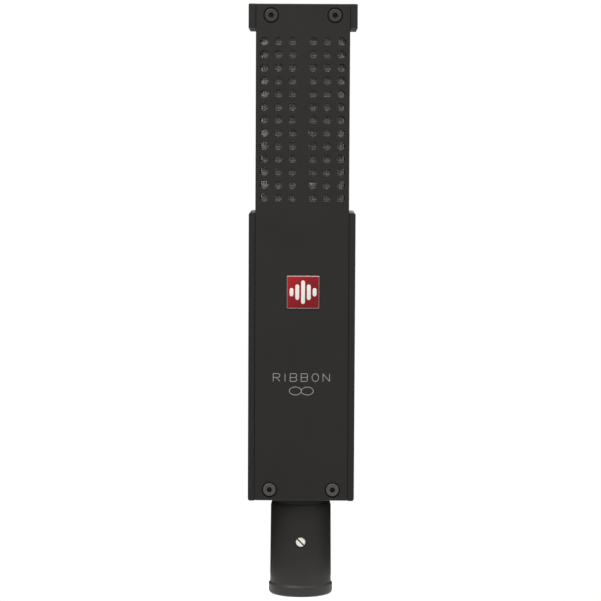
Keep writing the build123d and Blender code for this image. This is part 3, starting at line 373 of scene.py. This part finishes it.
def tube_faces(start, rings, sides):
    """Quads along a tube of rings, with its two ends closed."""
    faces = [[start + ring * sides + k, start + ring * sides + (k + 1) % sides,
              start + (ring + 1) * sides + (k + 1) % sides, start + (ring + 1) * sides + k]
             for ring in range(rings - 1) for k in range(sides)]
    faces.append([start + k for k in reversed(range(sides))])
    faces.append([start + (rings - 1) * sides + k for k in range(sides)])
    return faces


WEAVE_PITCH, WEAVE_HALF, WEAVE_DEEP = 0.62 * MM, 0.205 * MM, 0.082 * MM


def woven_mesh(node):
    """Plain-woven wire cloth filling the flat space of a CAD mesh sheet."""
    low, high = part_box(node)
    middle_y = (low.y + high.y) / 2
    swing = (high.y - low.y) / 2 - WEAVE_DEEP
    across = int((high.x - low.x) / WEAVE_PITCH)
    tall = int((high.z - low.z) / WEAVE_PITCH)
    start_x = (low.x + high.x - (across - 1) * WEAVE_PITCH) / 2
    start_z = (low.z + high.z - (tall - 1) * WEAVE_PITCH) / 2
    corners = [(WEAVE_HALF, 0), (0, WEAVE_DEEP), (-WEAVE_HALF, 0), (0, -WEAVE_DEEP)]
    points, faces = [], []
    for i in range(across):
        x = start_x + i * WEAVE_PITCH
        faces += tube_faces(len(points), tall, 4)
        for j in range(tall):
            y, z = middle_y + (swing if (i + j) % 2 else -swing), start_z + j * WEAVE_PITCH
            points += [(x + c, y + s, z) for c, s in corners]
    for j in range(tall):
        z = start_z + j * WEAVE_PITCH
        faces += tube_faces(len(points), across, 4)
        for i in range(across):
            x, y = start_x + i * WEAVE_PITCH, middle_y + (-swing if (i + j) % 2 else swing)
            points += [(x, y + s, z + c) for c, s in corners]
    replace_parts(piece(f"{node}_weave", points, faces, WIRE), node)


FOIL_THICK, WAVE_LONG, WAVE_STEPS, CLAMP_MARGIN = 0.02 * MM, 2 * MM, 12, 0.4 * MM


def ribbon_halves():
    """The corrugated foil as two halves, split about the middle."""
    low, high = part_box("ribbon")
    flat_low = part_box("lower_clamp_base")[1].z + CLAMP_MARGIN
    flat_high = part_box("upper_clamp_base")[0].z - CLAMP_MARGIN
    crest = (high.y - low.y) / 2 - FOIL_THICK
    waves = int((flat_high - flat_low) / WAVE_LONG)
    steps = waves * WAVE_STEPS
    heights = [flat_low + (flat_high - flat_low) * k / steps for k in range(steps + 1)]
    route = [(0, low.z)] + [(-crest * sin(2 * pi * waves * k / steps), z) for k, z in enumerate(heights)]
    route.append((0, high.z))
    middle = len(route) // 2
    halves = []
    for name, part in (("lower", route[:middle + 1]), ("upper", route[middle:])):
        points = []
        for y, z in part:
            points += [(low.x, y - FOIL_THICK / 2, z), (high.x, y - FOIL_THICK / 2, z),
                       (high.x, y + FOIL_THICK / 2, z), (low.x, y + FOIL_THICK / 2, z)]
        half = piece(f"ribbon_{name}_half", points, tube_faces(0, len(part), 4), FOIL, None)
        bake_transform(half)
        halves.append(half)
    for half in halves:
        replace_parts(half, "ribbon")


def rounded_square(half, corner, steps=6):
    """The corners of a rounded square's outline, counter-clockwise."""
    outline = []
    for turn, (cx, cz) in enumerate(((1, 1), (-1, 1), (-1, -1), (1, -1))):
        for k in range(steps + 1):
            angle = pi / 2 * (turn + k / steps)
            outline.append((cx * (half - corner) + corner * cos(angle),
                            cz * (half - corner) + corner * sin(angle)))
    return outline


RIM_WIDE, ENAMEL_PROUD, EMBLEM_PROUD, ENAMEL_CORNER = 0.28 * MM, 0.10 * MM, 0.16 * MM, 0.35 * MM
# each ring of the enamel: its share of the field's width, and of the height that it stands proud
ENAMEL_RINGS = ((1.0, -0.1), (1.0, 0.35), (0.985, 0.75), (0.95, 0.95), (0.6, 1.0))
BAR_SHARES = (0.36, 0.66, 1.0, 0.66, 0.36)
BAR_HALF, BAR_GAP, BAR_TALL, BAR_END_STEPS = 0.78 * MM, 2.3 * MM, 4.7 * MM, 8
# each ring of an emblem bar: its share of the bar's width, and of the height that it stands proud
BAR_RINGS = ((1.0, 0.0), (1.0, 0.8), (0.86, 1.0))


def badge_pieces():
    """A domed enamel field in the badge's metal tray, with a plain sound-level emblem on it."""
    low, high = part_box("badge_plate")
    centre_x, centre_z = (low.x + high.x) / 2, (low.z + high.z) / 2
    half = (high.x - low.x) / 2 - RIM_WIDE
    points = []
    for scale, rise in ENAMEL_RINGS:
        points += [(centre_x + x * scale, low.y - rise * ENAMEL_PROUD, centre_z + z * scale)
                   for x, z in rounded_square(half, ENAMEL_CORNER)]
    faces = tube_faces(0, len(ENAMEL_RINGS), len(points) // len(ENAMEL_RINGS))
    piece("badge_enamel", points, faces, ENAMEL)
    points, faces = [], []
    for k, share in enumerate(BAR_SHARES):
        bar_x = centre_x + (k - len(BAR_SHARES) // 2) * BAR_GAP
        outline = []
        for end, start in ((1, 0), (-1, pi)):
            for step in range(BAR_END_STEPS + 1):
                angle = start + pi * step / BAR_END_STEPS
                outline.append((BAR_HALF * cos(angle),
                                end * (BAR_TALL * share - BAR_HALF) + BAR_HALF * sin(angle)))
        base = len(points)
        for scale, rise in BAR_RINGS:
            points += [(bar_x + x * scale, low.y - rise * EMBLEM_PROUD,
                        centre_z + z - (1 - scale) * BAR_HALF * (1 if z > 0 else -1)) for x, z in outline]
        faces += tube_faces(base, len(BAR_RINGS), len(outline))
    piece("badge_emblem", points, faces, EMBLEM)


STROKE_HALF, PAINT_THICK, PAINT_STEP = 0.14 * MM, 0.02 * MM, 0.002 * MM
SHARPEST_WIDEN, SAME_POINT = 0.5, 1e-9


def stroke(points, faces, route, thick, closed=False):
    """Adds a thin painted line along a route of (x, z) points, standing off the plate by thick."""
    face_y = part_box("front_plate")[0].y
    count = len(route)
    base = len(points)
    for k, (x, z) in enumerate(route):
        before = route[(k - 1) % count] if closed or k else route[k]
        after = route[(k + 1) % count] if closed or k < count - 1 else route[k]
        run = Vector((after[0] - before[0], after[1] - before[1])).normalized()
        sides = []
        for a, b in ((before, (x, z)), ((x, z), after)):
            step = Vector((b[0] - a[0], b[1] - a[1]))
            if step.length > SAME_POINT:
                sides.append(step.normalized())
        widen = 1.0 / max(SHARPEST_WIDEN, sides[0].dot(run)) if sides else 1.0
        off = Vector((-run.y, run.x)) * STROKE_HALF * widen
        for y in (face_y, face_y - thick):
            points.append((x + off.x, y, z + off.y))
            points.append((x - off.x, y, z - off.y))
    turns = count if closed else count - 1
    for k in range(turns):
        a, b = base + 4 * k, base + 4 * ((k + 1) % count)
        for p, q in ((0, 1), (1, 3), (3, 2), (2, 0)):
            faces.append([a + p, a + q, b + q, b + p])
    if not closed:
        faces.append([base + p for p in (0, 2, 3, 1)])
        end = base + 4 * (count - 1)
        faces.append([end + p for p in (0, 1, 3, 2)])


def arc(cx, cz, rx, rz, start, stop, steps=12):
    """Points along an ellipse's arc, from one angle in degrees to another."""
    return [(cx + rx * cos(radians(start + (stop - start) * k / steps)),
             cz + rz * sin(radians(start + (stop - start) * k / steps))) for k in range(steps + 1)]


def letter_strokes(letter, wide):
    """A plain letter's strokes in a box of the given width and a height of 1."""
    bowl = 0.25
    straight = wide - bowl
    upper = [(0, 0.5), (straight, 0.5), *arc(straight, 0.75, bowl, 0.25, -90, 90)[1:], (0, 1)]
    lower = [(0, 0), (straight, 0), *arc(straight, 0.25, bowl, 0.25, -90, 90)[1:]]
    shapes = {
        "R": [[(0, 0), (0, 1)], upper, [(0.45 * wide, 0.5), (wide, 0)]],
        "I": [[(wide / 2, 0), (wide / 2, 1)]],
        "B": [[(0, 0), (0, 1)], upper, lower],
        "O": [arc(wide / 2, 0.5, wide / 2, 0.5, 90, 450, 32)[:-1]],
        "N": [[(0, 0), (0, 1)], [(0, 1), (wide, 0)], [(wide, 0), (wide, 1)]],
    }
    return shapes[letter]


WORD_WIDE, WORD_TALL, WORD_Z, LETTER_GAP = 22.5 * MM, 3.1 * MM, 88.15 * MM, 1.75 * MM
SYMBOL_WIDE, SYMBOL_TALL, SYMBOL_Z = 2.4 * MM, 1.6 * MM, 84.3 * MM


def marking():
    """A generic word in thin wide letters, and a figure-eight pickup symbol below it."""
    word = "RIBBON"
    shares = [0.25 if letter == "I" else 1.0 for letter in word]
    unit = (WORD_WIDE - LETTER_GAP * (len(word) - 1)) / sum(shares)
    points, faces = [], []
    left = -WORD_WIDE / 2
    for letter, share in zip(word, shares):
        wide = unit * share / WORD_TALL
        for order, route in enumerate(letter_strokes(letter, wide)):
            placed = [(left + x * WORD_TALL, WORD_Z + z * WORD_TALL) for x, z in route]
            stroke(points, faces, placed, PAINT_THICK + order * PAINT_STEP, closed=letter == "O")
        left += unit * share + LETTER_GAP
    for side in (-1, 1):
        ring = arc(side * SYMBOL_WIDE, SYMBOL_Z, SYMBOL_WIDE, SYMBOL_TALL, 0, 360, 32)[:-1]
        stroke(points, faces, ring, PAINT_THICK + (side + 1) * PAINT_STEP, closed=True)
    piece("front_marking", points, faces, MARKING, smooth=False)


# ---------------------------------------------------------------- floor, light and camera
FLOOR_RADIUS, FLOOR_GLOW, FLOOR_GAP, FLOOR_STEPS = 40 * MM, 0.5, 0.2 * MM, 64
ROOM_COLOUR, BACKDROP_COLOUR = (1.0, 0.98, 0.94, 1.0), (1.0, 1.0, 1.0, 1.0)
# the room's strength is the sum of these: an axis, where on it the strength starts and stops changing,
# and the strength at each end
ROOM_GRADIENTS = (("Y", -0.3, 0.3, 0.46, 0.03), ("Z", 0.25, 0.7, 0.0, 1.5))
# each soft light: its name, place, diameter and watts
LIGHTS = (("key", (-0.45, -0.70, 0.95), 0.45, 5), ("fill", (0.75, -0.6, 0.45), 0.6, 1.5),
          ("back", (0.1, 0.9, 0.9), 0.5, 3))
# a panel level with the camera, behind the part: faces that point up or down reflect it at a grazing angle
PANEL_BEHIND, PANEL_HIGH, PANEL_SIZE, PANEL_WATTS = 0.9, 0.19, 0.3, 0.3


def floor():
    """A pale plain floor just under the tail, bright enough to read as white."""
    s = Shader("pale_floor")
    shade = s.mix(s.spread(s.noise(0.4, 3), 0.3, 0.7), (0.86, 0.86, 0.86), (0.9, 0.9, 0.9))
    finish = s.finish(Base_Color=shade, Roughness=0.7, Specular_IOR_Level=0.1, Emission_Color=shade,
                      Emission_Strength=FLOOR_GLOW)
    mesh = bpy.data.meshes.new("floor")
    turns = [2 * pi * k / FLOOR_STEPS for k in range(FLOOR_STEPS)]
    z = cad_box[0][2] - FLOOR_GAP
    rim = [(FLOOR_RADIUS * cos(turn), FLOOR_RADIUS * sin(turn), z) for turn in turns]
    mesh.from_pydata(rim, [], [list(range(FLOOR_STEPS))])
    mesh.materials.append(finish)
    ground = bpy.data.objects.new("floor", mesh)
    bpy.context.scene.collection.objects.link(ground)


def area_light(name, place, target, size, power):
    """A round area light of the given diameter, aimed at a target."""
    lamp = bpy.data.lights.new(name, "AREA")
    lamp.shape, lamp.size, lamp.energy = "DISK", size, power
    thing = bpy.data.objects.new(name, lamp)
    thing.location = place
    thing.rotation_euler = (Vector(target) - Vector(place)).to_track_quat("-Z", "Y").to_euler()
    bpy.context.scene.collection.objects.link(thing)


def studio():
    """A white backdrop, a room that is dim behind and bright above, and large soft lights."""
    world = bpy.data.worlds.new("studio")
    bpy.context.scene.world = world
    world.use_nodes = True
    tree = world.node_tree
    room = tree.nodes["Background"]
    place = tree.nodes.new("ShaderNodeTexCoord")
    split = tree.nodes.new("ShaderNodeSeparateXYZ")
    tree.links.new(place.outputs["Generated"], split.inputs[0])
    total = tree.nodes.new("ShaderNodeMath")
    for k, (letter, low, high, start, end) in enumerate(ROOM_GRADIENTS):
        spread = tree.nodes.new("ShaderNodeMapRange")
        set_range(spread, low, high, start, end)
        tree.links.new(split.outputs[letter], spread.inputs["Value"])
        tree.links.new(spread.outputs["Result"], total.inputs[k])
    tree.links.new(total.outputs[0], room.inputs["Strength"])
    room.inputs["Color"].default_value = ROOM_COLOUR
    backdrop = tree.nodes.new("ShaderNodeBackground")
    backdrop.inputs["Color"].default_value = BACKDROP_COLOUR
    choose = tree.nodes.new("ShaderNodeMixShader")
    ray = tree.nodes.new("ShaderNodeLightPath")
    tree.links.new(ray.outputs["Is Camera Ray"], choose.inputs[0])
    tree.links.new(room.outputs[0], choose.inputs[1])
    tree.links.new(backdrop.outputs[0], choose.inputs[2])
    tree.links.new(choose.outputs[0], tree.nodes["World Output"].inputs["Surface"])
    middle = (0, 0, (cad_box[0][2] + cad_box[1][2]) / 2)
    for name, place, size, watts in LIGHTS:
        area_light(name, place, middle, size, watts)
    area_light("panel", (0, PANEL_BEHIND, PANEL_HIGH), (0, 0, PANEL_HIGH), PANEL_SIZE, PANEL_WATTS)
    bpy.context.scene.view_settings.view_transform = "Standard"


LENS, SENSOR = 137.08, 36.0
CAMERA_X, CAMERA_BACK, CAMERA_UNDER_TOP = 1.5 * MM, 910.0 * MM, 52.4 * MM
YAW, PITCH, ROLL = radians(-0.126), radians(4.1), radians(0.28)


def camera():
    """In front of the grille, a little under a metre away and looking slightly down."""
    lens = bpy.data.cameras.new("camera")
    lens.lens, lens.sensor_width = LENS, SENSOR
    eye = bpy.data.objects.new("camera", lens)
    ahead = Vector((sin(YAW) * cos(PITCH), cos(YAW) * cos(PITCH), -sin(PITCH)))
    right = Vector((cos(YAW), -sin(YAW), 0))
    up = right.cross(ahead)
    rolled_right = right * cos(ROLL) + up * sin(ROLL)
    rolled_up = up * cos(ROLL) - right * sin(ROLL)
    turn = Matrix((rolled_right, rolled_up, -ahead)).transposed().to_4x4()
    place = Vector((CAMERA_X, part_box("front_plate")[0].y - CAMERA_BACK, cad_box[1][2] - CAMERA_UNDER_TOP))
    eye.matrix_world = Matrix.Translation(place) @ turn
    bpy.context.scene.collection.objects.link(eye)
    bpy.context.scene.camera = eye


for node in ("front_mesh", "rear_mesh"):
    woven_mesh(node)
ribbon_halves()
badge_pieces()
marking()
floor()
studio()
camera()
